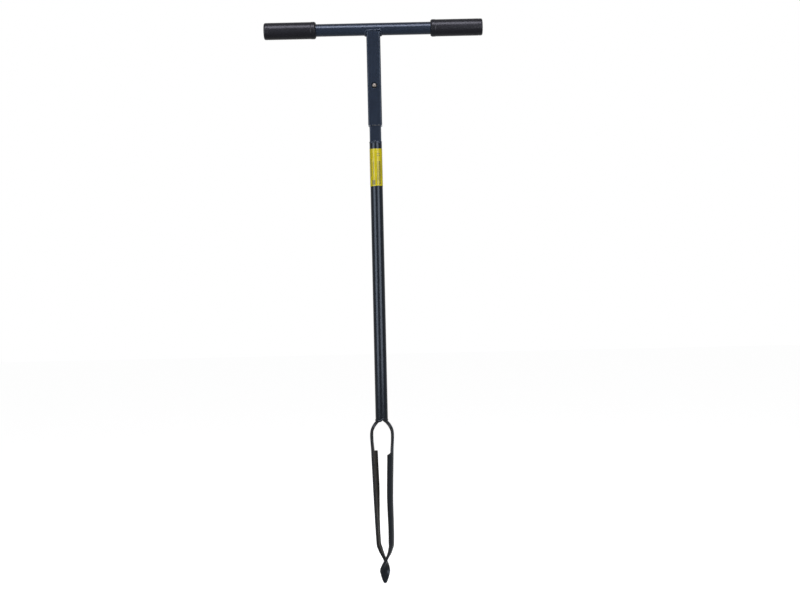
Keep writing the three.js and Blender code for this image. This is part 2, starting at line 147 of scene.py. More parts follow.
class AugerColours(bpy.types.PropertyGroup):
    """Colours of the finishes."""

    handle_paint: colour("Handle paint", "Enamel of the handle and the spigot", "#1c2431")
    shaft_paint: colour("Shaft paint", "Enamel of the shaft", "#13171d")
    blade_paint: colour("Blade paint", "Enamel of the blades", "#14171b")
    grip_rubber: colour("Grip rubber", "Rubber of the grips", "#141419")
    label_film: colour("Label film", "Ground of the label", "#c1b206")
    label_ink: colour("Label ink", "Ruled bars of the label", "#2c3640")
    button_steel: colour("Button steel", "Turned steel of the button", "#46423d")
    spring_steel: colour("Spring steel", "Tempered steel of the spring", "#8a8d90")
    bare_steel: colour("Bare steel", "Steel under chipped enamel", "#8d8c8a")
    soil_stain: colour("Soil stain", "Stain on the insides of the blades", "#2a251e")


class AugerStage(bpy.types.PropertyGroup):
    """The camera and the lamps."""

    camera_distance: length("Camera distance", "From the shaft's axis to the camera", 2.8)
    camera_height: length("Camera height", "Height of the camera above the floor", 0.6124)
    camera_aside: length("Camera aside", "How far the camera stands to the right", 0.0452)
    view_width: length("View width", "Width of the view at the shaft", 1.733)
    camera_roll: bpy.props.FloatProperty(
        name="Camera roll",
        description="Turn of the camera about its own line of sight",
        default=math.radians(1.26),
        subtype="ANGLE",
    )
    side_light: power("Side light", "Light of each side lamp", 15)
    top_light: power("Top light", "Light of the lamp overhead", 7)
    rear_light: power("Rear light", "Light of the lamp behind", 16)
    side_sheen: power("Side sheen", "Reflection of each side lamp", 66)
    top_sheen: power("Top sheen", "Reflection of the lamp overhead", 80)
    fill: bpy.props.FloatProperty(
        name="Fill", description="Light of the surroundings on the pieces", default=0.3, min=0
    )


# ---- Meshes ----


def new_object(name, data):
    """A new object in the scene for a mesh, a lamp or a camera."""
    made = bpy.data.objects.new(name, data)
    bpy.context.scene.collection.objects.link(made)
    return made


def mesh_from(name, bm):
    """A mesh from a bmesh, which is used up."""
    mesh = bpy.data.meshes.new(name)
    bm.to_mesh(mesh)
    bm.free()
    return mesh


def new_piece(name, bm, material, body, node, smooth_below=35):
    """A finished piece from a bmesh. It rides on a body, unless that is None, and stands for a
    node of the frame."""
    mesh = mesh_from(name, bm)
    mesh.materials.append(material)
    mesh.shade_smooth()
    mesh.set_sharp_from_angle(angle=math.radians(smooth_below))
    piece = new_object(name, mesh)
    # The flats keep their own shading beside rounded edges.
    piece.modifiers.new("flat_shading", "WEIGHTED_NORMAL").keep_sharp = True
    if body:
        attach(piece, body)
    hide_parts(node)
    return piece


def verts_of(parts):
    """The vertices among what a bmesh operator made."""
    return {part for part in parts if isinstance(part, bmesh.types.BMVert)}


def face_outwards(bm):
    """Merges doubles and points every face outwards."""
    bmesh.ops.remove_doubles(bm, verts=bm.verts, dist=0.02 * MM)
    bmesh.ops.recalc_face_normals(bm, faces=bm.faces)
    return bm


def wire(bm, corners, closed=True):
    """Adds edges along a row of corners, each (point, rounding), and returns all the edges."""
    verts = [bm.verts.new(point) for point, _ in corners]
    ends = zip(verts, verts[1:] + verts[:1]) if closed else zip(verts, verts[1:])
    for pair in list(ends):
        bm.edges.new(pair)
    for vert, (_, rounding) in zip(verts, corners):
        if rounding:
            bmesh.ops.bevel(
                bm, geom=[vert], offset=rounding, segments=6, profile=0.5, affect="VERTICES", material=-1
            )
    return list(bm.edges)


def turned(profile, steps=96):
    """Turns a profile about Z. A profile's corner is (radius, height, rounding)."""
    bm = bmesh.new()
    on_axis = profile[0][0] == 0 and profile[-1][0] == 0
    corners = [(Vector((radius, 0, height)), rounding) for radius, height, rounding in profile]
    edges = wire(bm, corners, closed=not on_axis)
    outline = list(bm.verts) + edges
    bmesh.ops.spin(
        bm, geom=outline, cent=(0, 0, 0), axis=Z_AXIS, angle=2 * math.pi, steps=steps, use_merge=True
    )
    return face_outwards(bm)


def laid_along_x(bm, side=1):
    """Turns a shape made about Z to lie about X, pointing to the right (1) or the left (-1)."""
    bmesh.ops.rotate(bm, verts=bm.verts, matrix=Matrix.Rotation(side * math.pi / 2, 4, "Y"))
    return bm


def facing_front(bm):
    """Turns a shape made about Z to point towards -Y."""
    bmesh.ops.rotate(bm, verts=bm.verts, matrix=Matrix.Rotation(math.pi / 2, 4, "X"))
    return bm


def moved(bm, offset):
    """Shifts the whole shape."""
    bmesh.ops.translate(bm, verts=bm.verts, vec=offset)
    return bm


def sliced(bm, place, direction):
    """Adds a row of vertices where a plane crosses the shape, and cuts nothing away."""
    everything = list(bm.verts) + list(bm.edges) + list(bm.faces)
    bmesh.ops.bisect_plane(bm, geom=everything, plane_co=place, plane_no=direction, dist=1e-7)
    return bm


def grown(bm, edges, offset):
    """Extrudes a row of edges by an offset, and returns the new row."""
    made = bmesh.ops.extrude_edge_only(bm, edges=edges)["geom"]
    verts = verts_of(made)
    bmesh.ops.translate(bm, verts=list(verts), vec=offset)
    return [part for part in made if isinstance(part, bmesh.types.BMEdge) and verts.issuperset(part.verts)]


def carved(bm, *cutters):
    """A shape less some cutters, which are used up."""
    made = [new_object("carving", mesh_from("carving", part)) for part in (bm, *cutters)]
    block = made[0]
    for cutter in made[1:]:
        cut = block.modifiers.new("cut", "BOOLEAN")
        cut.operation = "DIFFERENCE"
        cut.solver = "EXACT"
        cut.object = cutter
    bpy.context.view_layer.update()
    evaluated = block.evaluated_get(bpy.context.evaluated_depsgraph_get())
    result = bmesh.new()
    result.from_mesh(evaluated.to_mesh())
    evaluated.to_mesh_clear()
    for part in made:
        # The object goes with its mesh.
        bpy.data.meshes.remove(part.data)
    return face_outwards(result)


def eased(bm, width, sharper_than=50, segments=2):
    """Rounds every edge that is sharper than an angle."""
    limit = math.radians(sharper_than)
    sharp = [e for e in bm.edges if e.is_manifold and e.calc_face_angle(0) > limit]
    bmesh.ops.bevel(
        bm, geom=sharp, offset=width, segments=segments, profile=0.5,
        affect="EDGES", clamp_overlap=True, material=-1,
    )
    return bm


def mark(bm, name, measure):
    """Stores a number from 0 to 1 on every vertex, for a material to read."""
    layer = bm.verts.layers.float.new(name)
    for vert in bm.verts:
        vert[layer] = min(max(measure(vert.co), 0), 1)
    return bm


def roughened(bm, height, grain, seed):
    """Moves every vertex in or out a little, in a smooth random way."""
    bm.normal_update()
    # Each seed reads the noise at another place.
    offset = Vector((seed * 7.3, seed * 3.1, seed * 5.7))
    for vert in bm.verts:
        vert.co += vert.normal * height * noise.noise(vert.co / grain + offset)
    return bm


# ---- Curves and beads ----


def smoothstep(value, low, high):
    """0 below low, 1 above high and a smooth rise between them."""
    share = min(max((value - low) / (high - low), 0), 1)
    return share * share * (3 - 2 * share)


def falling(value, low, high):
    """1 below low, 0 above high and a smooth fall between them."""
    return 1 - smoothstep(value, low, high)


def blended(low, high, share):
    """A number between two others."""
    return low * (1 - share) + high * share


# How many points a curve has between two of its knots.
PER_SPAN = 12


def spline(points):
    """Points along a centripetal Catmull-Rom curve."""
    row = [2 * points[0] - points[1], *points, 2 * points[-1] - points[-2]]
    curve = []
    for a, b, c, d in zip(row, row[1:], row[2:], row[3:]):
        before, span, after = (math.sqrt((q - p).length) for p, q in ((a, b), (b, c), (c, d)))
        leave = ((b - a) / before - (c - a) / (before + span) + (c - b) / span) * span
        arrive = ((c - b) / span - (d - b) / (span + after) + (d - c) / after) * span
        for i in range(PER_SPAN):
            w = i / PER_SPAN
            square = 3 * (c - b) - 2 * leave - arrive
            cube = 2 * (b - c) + leave + arrive
            curve.append(b + leave * w + square * w**2 + cube * w**3)
    return curve + [points[-1]]


class Route:
    """A curve that is read by the distance along it."""

    def __init__(self, points):
        self.points = points
        self.marks = [0]
        for a, b in zip(points, points[1:]):
            self.marks.append(self.marks[-1] + (b - a).length)
        self.length = self.marks[-1]

    def at(self, distance):
        """The point at a distance, and the direction there."""
        low = min(max(bisect.bisect_right(self.marks, distance) - 1, 0), len(self.marks) - 2)
        a, b = self.points[low], self.points[low + 1]
        share = (distance - self.marks[low]) / (self.marks[low + 1] - self.marks[low])
        before = self.points[max(low - 1, 0)]
        after = self.points[min(low + 2, len(self.points) - 1)]
        direction = (b - before).normalized().lerp((after - a).normalized(), share)
        return a.lerp(b, share), direction.normalized()


def sweep(bm, stations, sides, closed=False):
    """A skin over a row of rings. A station is the matrix of a ring of radius 1 about its Z."""
    bmesh.ops.create_circle(bm, segments=sides, radius=1, matrix=stations[0])
    first = ring = list(bm.edges)
    for before, after in zip(stations, stations[1:]):
        ring = grown(bm, ring, (0, 0, 0))
        verts = list({vert for edge in ring for vert in edge.verts})
        bmesh.ops.transform(bm, verts=verts, matrix=after @ before.inverted())
    if closed:
        bmesh.ops.bridge_loops(bm, edges=first + ring)
    else:
        bmesh.ops.edgeloop_fill(bm, edges=first)
        bmesh.ops.edgeloop_fill(bm, edges=ring)
    return face_outwards(bm)


def station(place, direction, up, width, height):
    """The matrix of a ring at a place, square to a direction, height reaching towards up."""
    side = direction.cross(up).normalized()
    rise = side.cross(direction).normalized()
    turn = Matrix((side * width, rise * height, direction)).transposed().to_4x4()
    return Matrix.Translation(place) @ turn


# How many rings draw one ripple of a bead, and over how many its ends close.
RINGS_PER_RIPPLE = 10
CLOSING_RINGS = 6


def weld_bead(knots, up, seed, closed=False, aspect=1.0, swelling=0.28):
    """A rippled weld bead through its knots, each (place, radius). up gives a place's outward
    direction, aspect is how far the bead reaches that way for its width, and swelling is how
    much each ripple stands out."""
    pitch = bpy.context.scene.auger_sizes.bead_pitch
    chance = random.Random(seed)
    route = Route(spline([place for place, _ in knots]))
    knot_marks = route.marks[::PER_SPAN]
    ripples = max(round(route.length / pitch), 1)
    # Each ripple has its own size, and lies a little to one side.
    lumps = [chance.uniform(0.92, 1.08) for _ in range(ripples + 1)]
    drift = [chance.uniform(-0.12, 0.12) for _ in range(ripples + 1)]
    if closed:
        lumps[-1], drift[-1] = lumps[0], drift[0]
    steps = ripples * RINGS_PER_RIPPLE
    stations = []
    for i in range(steps if closed else steps + 1):
        distance = i / steps * route.length
        place, direction = route.at(distance)
        outward = up(place)
        span = min(bisect.bisect_right(knot_marks, distance) - 1, len(knots) - 2)
        share = (distance - knot_marks[span]) / (knot_marks[span + 1] - knot_marks[span])
        radius = blended(knots[span][1], knots[span + 1][1], share)
        along = i / steps * ripples
        which = min(int(along), ripples - 1)
        phase = along - which
        lump = blended(lumps[which], lumps[which + 1], phase)
        shift = blended(drift[which], drift[which + 1], phase)
        # Each ripple swells quickly and dies away slowly, as a puddle freezes.
        size = radius * lump * (1 - swelling / 2 + swelling * math.sin(math.pi * phase**0.7))
        if not closed:
            size *= math.sqrt(min(min(i, steps - i) / CLOSING_RINGS + 0.02, 1))
        side = direction.cross(outward).normalized()
        stations.append(station(place + side * shift * size, direction, outward, size, size * aspect))
    return sweep(bmesh.new(), stations, sides=20, closed=closed)


def outwards(place):
    """The level direction from the shaft's axis to a place."""
    return Vector((place.x, place.y, 0)).normalized()


# ---- Materials ----

# The sockets of a Mix node for colours: the two that it takes, and the one that it gives.
LOWER, UPPER, MIXED = 6, 7, 2


def add_node(tree, kind, settings=None, links=None, gives=0):
    """Adds a shader node and returns one of its outputs, or the node itself where gives is None.
    settings gives its properties and unlinked inputs, links what feeds it."""
    node = tree.nodes.new(f"ShaderNode{kind}")
    for name, value in (settings or {}).items():
        if isinstance(name, str) and hasattr(node, name):
            setattr(node, name, value)
        else:
            node.inputs[name].default_value = value
    for name, source in (links or {}).items():
        tree.links.new(source, node.inputs[name])
    return node if gives is None else node.outputs[gives]


def emptied_tree(owner):
    """The node tree of a material or a world, with no nodes in it."""
    owner.use_nodes = True
    owner.node_tree.nodes.clear()
    return owner.node_tree


def new_material(name, settings, links_of):
    """A material with one principled shader. links_of(tree, place) gives what feeds it, where
    place is the place on the piece in metres."""
    material = bpy.data.materials.new(name)
    tree = emptied_tree(material)
    place = add_node(tree, "TexCoord", gives="Object")
    shader = add_node(tree, "BsdfPrincipled", settings, links_of(tree, place))
    add_node(tree, "OutputMaterial", links={"Surface": shader}, gives=None)
    return material


def per(size):
    """A texture's scale for features of that size in metres."""
    return 1 / size


def shade(rgb, level=1.0):
    """A linear colour with alpha, made lighter or darker."""
    return [min(channel * level, 1) for channel in rgb] + [1]


def patches(tree, place, size, detail, grit=0.5, span=(0.35, 0.65), ends=(0, 1)):
    """Soft random patches of a size: the part of a noise that lies in span, spread between the
    ends. grit is how strong the noise's details are."""
    fine = {"Scale": per(size), "Detail": detail, "Roughness": grit}
    fine = add_node(tree, "TexNoise", fine, {"Vector": place})
    spread = {"From Min": span[0], "From Max": span[1], "To Min": ends[0], "To Max": ends[1]}
    return add_node(tree, "MapRange", spread, {"Value": fine})


def soil_stained(tree, place, fed, soil):
    """Lays soil over an enamel: it dries in the hollow side of a blade and rubs off the rest."""
    inside = add_node(tree, "Attribute", {"attribute_name": "inside"}, gives="Fac")
    patchy = patches(tree, place, 14 * MM, 5, 0.6, span=(0.32, 0.6), ends=(0.55, 1))
    stain = add_node(tree, "Math", {"operation": "MULTIPLY"}, {0: inside, 1: patchy})
    layer = {"data_type": "RGBA", UPPER: shade(soil)}
    stained = {"Factor": stain, LOWER: fed["Base Color"]}
    fed["Base Color"] = add_node(tree, "Mix", layer, stained, gives=MIXED)
    duller = {"operation": "MULTIPLY_ADD", 1: 0.12}
    fed["Roughness"] = add_node(tree, "Math", duller, {0: stain, 2: fed["Roughness"]})


def chipped(tree, place, fed, steel):
    """Chips an enamel down to the steel where the wear mark is strong, about 1.5 mm across."""
    wear = add_node(tree, "Attribute", {"attribute_name": "wear"}, gives="Fac")
    fleck = {"Scale": per(2.2 * MM), "Detail": 3, "Roughness": 0.6}
    fleck = add_node(tree, "TexNoise", fleck, {"Vector": place})
    weighed = {"operation": "MULTIPLY_ADD", 1: 0.35}
    chip = add_node(tree, "Math", weighed, {0: wear, 2: fleck})
    chip = add_node(tree, "MapRange", {"From Min": 0.79, "From Max": 0.84}, {"Value": chip})
    layer = {"data_type": "RGBA", UPPER: shade(steel)}
    bared = {"Factor": chip, LOWER: fed["Base Color"]}
    fed["Base Color"] = add_node(tree, "Mix", layer, bared, gives=MIXED)
    fed["Metallic"] = chip


def enamel(name, rgb, roughness, soil=None, steel=None):
    """Stoved enamel sprayed on steel: satin, with faint orange peel and a slightly uneven colour,
    which blur the lamps into soft streaks. A colour of soil stains it, and one of steel shows
    through its chips."""

    def links(tree, place):
        # The spray's unevenness, a few centimetres across.
        cloud = patches(tree, place, 38 * MM, 2)
        tones = {"data_type": "RGBA", LOWER: shade(rgb, 0.92), UPPER: shade(rgb, 1.08)}
        # Handling dulls it in patches of about a centimetre.
        satin = (roughness - 0.02, roughness + 0.03)
        satin = patches(tree, place, 9 * MM, 4, span=(0.3, 0.7), ends=satin)
        # Orange peel, about 1.6 mm across.
        peel = add_node(tree, "TexNoise", {"Scale": per(1.6 * MM), "Detail": 1}, {"Vector": place})
        fed = {
            "Base Color": add_node(tree, "Mix", tones, {"Factor": cloud}, gives=MIXED),
            "Roughness": satin,
            "Normal": add_node(tree, "Bump", {"Distance": 0.004 * MM}, {"Height": peel}),
        }
        if soil is not None:
            soil_stained(tree, place, fed, soil)
        if steel is not None:
            chipped(tree, place, fed, steel)
        return fed

    # A thin blue cast on the gloss, as from carbon black in a blue binder.
    gloss = {"IOR": 1.5, "Specular IOR Level": 0.12, "Specular Tint": (0.8, 0.9, 1, 1)}
    return new_material(name, gloss, links)


def moulded_rubber(rgb):
    """Moulded black rubber: dull, with a fine mould grain and a pale bloom, which spread the
    lamps into wide soft highlights."""

    def links(tree, place):
        bloom = patches(tree, place, 22 * MM, 4, 0.6, span=(0.35, 0.7))
        tones = {"data_type": "RGBA", LOWER: shade(rgb, 0.92), UPPER: shade(rgb, 1.12)}
        # The mould's blasted grain, drawn at 0.8 mm where a real one is half that, so that it shows.
        grain = {"Scale": per(0.8 * MM), "Detail": 2, "Roughness": 0.6}
        grain = add_node(tree, "TexNoise", grain, {"Vector": place})
        return {
            "Base Color": add_node(tree, "Mix", tones, {"Factor": bloom}, gives=MIXED),
            "Roughness": patches(tree, place, 5 * MM, 4, span=(0.3, 0.7), ends=(0.32, 0.34)),
            "Normal": add_node(tree, "Bump", {"Distance": 0.004 * MM}, {"Height": grain}),
        }

    return new_material("moulded_rubber", {"IOR": 1.5, "Specular IOR Level": 0.075}, links)


def turned_steel(rgb):
    """Turned and tumbled steel, with faint rings from the lathe. Its dome is painted nearly black
    round its sides, a painted reflection of dark surroundings, which leaves the crown bright."""
    centre = middle("snap_button")

    def links(tree, place):
        onto_face = {"Location": (-centre.x, 0, -centre.z), "Scale": (1, 0, 1)}
        face = add_node(tree, "Mapping", onto_face, {"Vector": place})
        lathe = {
            "wave_type": "RINGS",
            "rings_direction": "SPHERICAL",
            "Scale": per(6.3 * MM),
            "Distortion": 0.4,
        }
        rings = add_node(tree, "TexWave", lathe, {"Vector": face}, gives="Fac")
        dull = add_node(tree, "TexNoise", {"Scale": per(2 * MM), "Detail": 3}, {"Vector": place})
        tones = {"data_type": "RGBA", LOWER: shade(rgb, 0.7), UPPER: shade(rgb, 1.15)}
        tones = add_node(tree, "Mix", tones, {"Factor": dull}, gives=MIXED)
        away = add_node(tree, "VectorMath", {"operation": "LENGTH"}, {0: face}, gives="Value")
        # Painted reflection: from 3.6 mm out to the rim, the dome is painted nearly black, where dark
        # surroundings would reflect.
        painted_dark_rim = {"From Min": 3.6 * MM, "From Max": 4.8 * MM}
        painted_dark_rim = add_node(tree, "MapRange", painted_dark_rim, {"Value": away})
        # The nearly black colour of that painted reflection.
        grime = {"data_type": "RGBA", UPPER: shade(rgb, 0.12)}
        satin = {"From Min": 0.3, "From Max": 0.7, "To Min": 0.42, "To Max": 0.56}
        return {
            "Base Color": add_node(tree, "Mix", grime, {"Factor": painted_dark_rim, LOWER: tones}, gives=MIXED),
            "Roughness": add_node(tree, "MapRange", satin, {"Value": dull}),
            "Normal": add_node(tree, "Bump", {"Distance": 0.004 * MM}, {"Height": rings}),
        }

    return new_material("turned_steel", {"Metallic": 1}, links)


def rolled_spring_steel(rgb):
    """Cold-rolled and tempered strip: grey, with fine lines along the rolling."""

    def links(tree, place):
        along = add_node(tree, "Mapping", {"Scale": (1, 1, 0.05)}, {"Vector": place})
        lines = add_node(tree, "TexNoise", {"Scale": per(0.6 * MM), "Detail": 3}, {"Vector": along})
        tones = {"data_type": "RGBA", LOWER: shade(rgb, 0.8), UPPER: shade(rgb, 1.1)}
        satin = {"From Min": 0.3, "From Max": 0.7, "To Min": 0.28, "To Max": 0.42}
        return {
            "Base Color": add_node(tree, "Mix", tones, {"Factor": lines}, gives=MIXED),
            "Roughness": add_node(tree, "MapRange", satin, {"Value": lines}),
            "Normal": add_node(tree, "Bump", {"Distance": 0.004 * MM}, {"Height": lines}),
        }

    return new_material("rolled_spring_steel", {"Metallic": 1}, links)


# The label's ruled bars, each as its middle and half width round the film, its bottom and top, and
# the pitch of its dashes, or 0 where it is unbroken. All in millimetres.
RULED_BARS = (
    (-12.2, 1.1, 21, 58, 1.9),
    (-5.9, 0.6, 26, 54, 2.2),
    (-5.9, 3.6, 3, 13, 1.9),
    (2.4, 0.35, 4, 54, 0),
    (4.6, 0.3, 14, 54, 0),
    (8.1, 1.5, 3, 54, 3.4),
    (5.6, 3.6, 66, 67.2, 0),
    (5.6, 3.6, 70, 71.2, 0),
)
# Where a dash starts and ends, as shares of its pitch.
DASH_START, DASH_END = 0.15, 0.85
# How far the ink fades to either side of an edge.
INK_BLEED = 0.15 * MM


def ruled_bar(tree, spans):
    """1 on a bar and 0 off it. A span is (what is measured, low, high), and the bar is where all
    its spans meet."""
    bar = None
    for measured, low, high in spans:
        from_middle = {"operation": "SUBTRACT", 1: (low + high) / 2 * MM}
        away = add_node(tree, "Math", from_middle, {0: measured})
        away = add_node(tree, "Math", {"operation": "ABSOLUTE"}, {0: away})
        reach = (high - low) / 2 * MM
        edge = {"From Min": reach + INK_BLEED, "From Max": reach - INK_BLEED}
        within = add_node(tree, "MapRange", edge, {"Value": away})
        if bar is None:
            bar = within
        else:
            bar = add_node(tree, "Math", {"operation": "MULTIPLY"}, {0: bar, 1: within})
    return bar


def ruled_ink(tree):
    """1 where the label is inked and 0 on its ground."""
    uv = add_node(tree, "UVMap", {"uv_map": "film"})
    around, along, _ = add_node(tree, "SeparateXYZ", links={"Vector": uv}, gives=None).outputs
    ink = None
    for centre, half, bottom, top, pitch in RULED_BARS:
        spans = [(around, centre - half, centre + half), (along, bottom, top)]
        if pitch:
            wrap = {"operation": "WRAP", 1: pitch * MM, 2: 0}
            dash = add_node(tree, "Math", wrap, {0: along})
            spans.append((dash, DASH_START * pitch, DASH_END * pitch))
        bar = ruled_bar(tree, spans)
        if ink is None:
            ink = bar
        else:
            ink = add_node(tree, "Math", {"operation": "MAXIMUM"}, {0: ink, 1: bar})
    return ink


def printed_film(film, ink):
    """Vinyl film with a coloured ground: smooth and slightly glossy. Its print is a plain set of
    bars, ruled up and across the film and rubbed thin in places."""

    def links(tree, place):
        rubbed = patches(tree, place, 2.4 * MM, 3, span=(0.3, 0.7), ends=(0.85, 1))
        inked = {0: ruled_ink(tree), 1: rubbed}
        inked = add_node(tree, "Math", {"operation": "MULTIPLY"}, inked)
        grime = patches(tree, place, 16 * MM, 4)
        ground = {"data_type": "RGBA", LOWER: shade(film, 0.88), UPPER: shade(film, 1.04)}
        ground = add_node(tree, "Mix", ground, {"Factor": grime}, gives=MIXED)
        print_on = {"data_type": "RGBA", UPPER: shade(ink)}
        # The film lies over small bumps, about 5 mm across.
        bumps = add_node(tree, "TexNoise", {"Scale": per(5 * MM), "Detail": 2}, {"Vector": place})
        return {
            "Base Color": add_node(tree, "Mix", print_on, {"Factor": inked, LOWER: ground}, gives=MIXED),
            "Roughness": add_node(tree, "MapRange", {"To Min": 0.19, "To Max": 0.26}, {"Value": grime}),
            "Normal": add_node(tree, "Bump", {"Distance": 0.02 * MM}, {"Height": bumps}),
        }

    return new_material("printed_vinyl", {"IOR": 1.46, "Specular IOR Level": 0.12}, links)


FINISH_MAKERS = {
    "handle": lambda hues: enamel("handle_enamel", hues.handle_paint, 0.24),
    "socket": lambda hues: enamel("worn_handle_enamel", hues.handle_paint, 0.22, steel=hues.bare_steel),
    "shaft": lambda hues: enamel("shaft_enamel", hues.shaft_paint, 0.18),
    "blade": lambda hues: enamel("blade_enamel", hues.blade_paint, 0.35, soil=hues.soil_stain),
    "rubber": lambda hues: moulded_rubber(hues.grip_rubber),
    "button": lambda hues: turned_steel(hues.button_steel),
    "spring": lambda hues: rolled_spring_steel(hues.spring_steel),
    "film": lambda hues: printed_film(hues.label_film, hues.label_ink),
}
FINISHES = {}


def finish_of(name):
    """A finish by name, made once."""
    if name not in FINISHES:
        FINISHES[name] = FINISH_MAKERS[name](bpy.context.scene.auger_colours)
    return FINISHES[name]


def new_bead(node, bead, body, finish):
    """A weld bead that rides on a body, stands for its node and takes its name from it."""
    new_piece(node.replace("weld", "bead"), bead, finish_of(finish), body, node, smooth_below=80)


# ---- The handle ----

TUBE_RADIUS = extent("shaft_tube").x / 2
CROSSBAR_HEIGHT = middle("crossbar").z
BUTTON_HEIGHT = middle("snap_button").z


def round_tube(low, high, radius, wall, rounding, steps=128):
    """A round tube about Z, or a solid bar where its wall is its radius."""
    inner = radius - wall
    corners = ((inner, low), (radius, low), (radius, high), (inner, high))
    return turned([(across, height, rounding) for across, height in corners], steps)


def square_tube(node, wall, corner, rows=()):
    """A square tube with rounded corners as high as its node, with rows of vertices at some
    heights above its lower end."""
    low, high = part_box(node)
    bm = bmesh.new()
    sharpest = 0.5 * MM
    for inset, rounding in ((0, corner), (wall, max(corner - wall, sharpest))):
        reach = high.x - inset
        square = ((-reach, -reach), (reach, -reach), (reach, reach), (-reach, reach))
        wire(bm, [(Vector((x, y, low.z)), rounding) for x, y in square])
    bmesh.ops.bridge_loops(bm, edges=bm.edges)
    raised = verts_of(bmesh.ops.extrude_face_region(bm, geom=list(bm.faces))["geom"])
    bmesh.ops.translate(bm, verts=list(raised), vec=(0, 0, high.z - low.z))
    face_outwards(bm)
    for row in rows:
        sliced(bm, (0, 0, low.z + row), Z_AXIS)
    return bm


def front_hole(radius, reach):
    """A cutter for the button's hole in a front wall."""
    depth = 5 * MM
    drill = round_tube(reach - depth, reach + depth, radius, radius, 0, 64)
    return moved(facing_front(drill), (0, 0, BUTTON_HEIGHT))


class AUGER_OT_crossbar(bpy.types.Operator):
    """Makes the round tube across the top"""

    bl_idname = "auger.crossbar"
    bl_label = "Crossbar"

    def execute(self, context):
        sizes = context.scene.auger_sizes
        reach = extent("crossbar").x / 2
        bm = laid_along_x(round_tube(-reach, reach, TUBE_RADIUS, sizes.tube_wall, sizes.cut_edge))
        moved(bm, (0, 0, CROSSBAR_HEIGHT))
        new_piece("crossbar_tube", bm, finish_of("handle"), "handle", "crossbar")
        return {"FINISHED"}


class AUGER_OT_grips(bpy.types.Operator):
    """Makes the two rubber sleeves on the crossbar"""

    bl_idname = "auger.grips"
    bl_label = "Grips"

    def execute(self, context):
        sizes = context.scene.auger_sizes
        low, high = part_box("right_grip")
        reach = high.x - low.x
        lip = (high.z - low.z) / 2
        barrel = lip - 0.4 * MM
        bore = TUBE_RADIUS + 0.1 * MM
        shut = reach - 4 * MM
        profile = [
            (0, shut, 0),
            (bore, shut, 0.5 * MM),
            (bore, 0, 0.3 * MM),
            # A lip stands round the open end.
            (lip - 2.4 * MM, 0, 0.6 * MM),
            (lip, 3 * MM, 0.8 * MM),
            (lip, 10 * MM, 0.7 * MM),
            (barrel, 11.5 * MM, 0.7 * MM),
            # A shallow mould line runs round near the closed end.
            (barrel, reach - 9.2 * MM, 0.15 * MM),
            (barrel - 0.28 * MM, reach - 8.9 * MM, 0.1 * MM),
            (barrel - 0.28 * MM, reach - 8.2 * MM, 0.1 * MM),
            (barrel - 0.05 * MM, reach - 7.9 * MM, 0.15 * MM),
            (barrel - 0.05 * MM, reach, sizes.grip_rounding),
            # The closed end is dished a little around its middle.
            (9 * MM, reach, 0.8 * MM),
            (7.5 * MM, reach - 0.5 * MM, 0.8 * MM),
            (0, reach - 0.5 * MM, 0),
        ]
        finish = finish_of("rubber")
        for name, side in (("left", -1), ("right", 1)):
            sleeve = laid_along_x(turned(profile, 128), side)
            moved(sleeve, (side * low.x, 0, CROSSBAR_HEIGHT))
            new_piece(f"{name}_grip_sleeve", sleeve, finish, "handle", f"{name}_grip")
        return {"FINISHED"}


class AUGER_OT_square_tubes(bpy.types.Operator):
    """Makes the socket under the crossbar and the spigot inside it"""

    bl_idname = "auger.square_tubes"
    bl_label = "Socket and spigot"

    def execute(self, context):
        sizes = context.scene.auger_sizes
        low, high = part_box("socket_tube")
        # The rows let the wear end close to the mouth.
        rows = (0.9 * MM, 1.8 * MM, 4 * MM)
        socket = square_tube("socket_tube", sizes.square_wall, sizes.socket_corner, rows)
        # The socket's top is cut to fit round the crossbar, by a bar that reaches past its sides.
        across = 60 * MM
        bar = laid_along_x(round_tube(-across, across, TUBE_RADIUS, TUBE_RADIUS, 0, 96))
        moved(bar, (0, 0, CROSSBAR_HEIGHT))
        socket = carved(socket, bar, front_hole(sizes.socket_hole, high.x))
        eased(socket, sizes.cut_edge)
        # The rim of the mouth is knocked each time the handle comes off.
        mark(socket, "wear", lambda place: falling(place.z - low.z, 0.4 * MM, 1.2 * MM))
        new_piece("socket", socket, finish_of("socket"), "handle", "socket_tube")

        low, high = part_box("spigot_tube")
        spigot = square_tube("spigot_tube", sizes.square_wall, sizes.spigot_corner)
        spigot = carved(spigot, front_hole(sizes.spigot_hole, high.x))
        eased(spigot, sizes.cut_edge)
        new_piece("spigot", spigot, finish_of("handle"), "shaft", "spigot_tube")
        return {"FINISHED"}


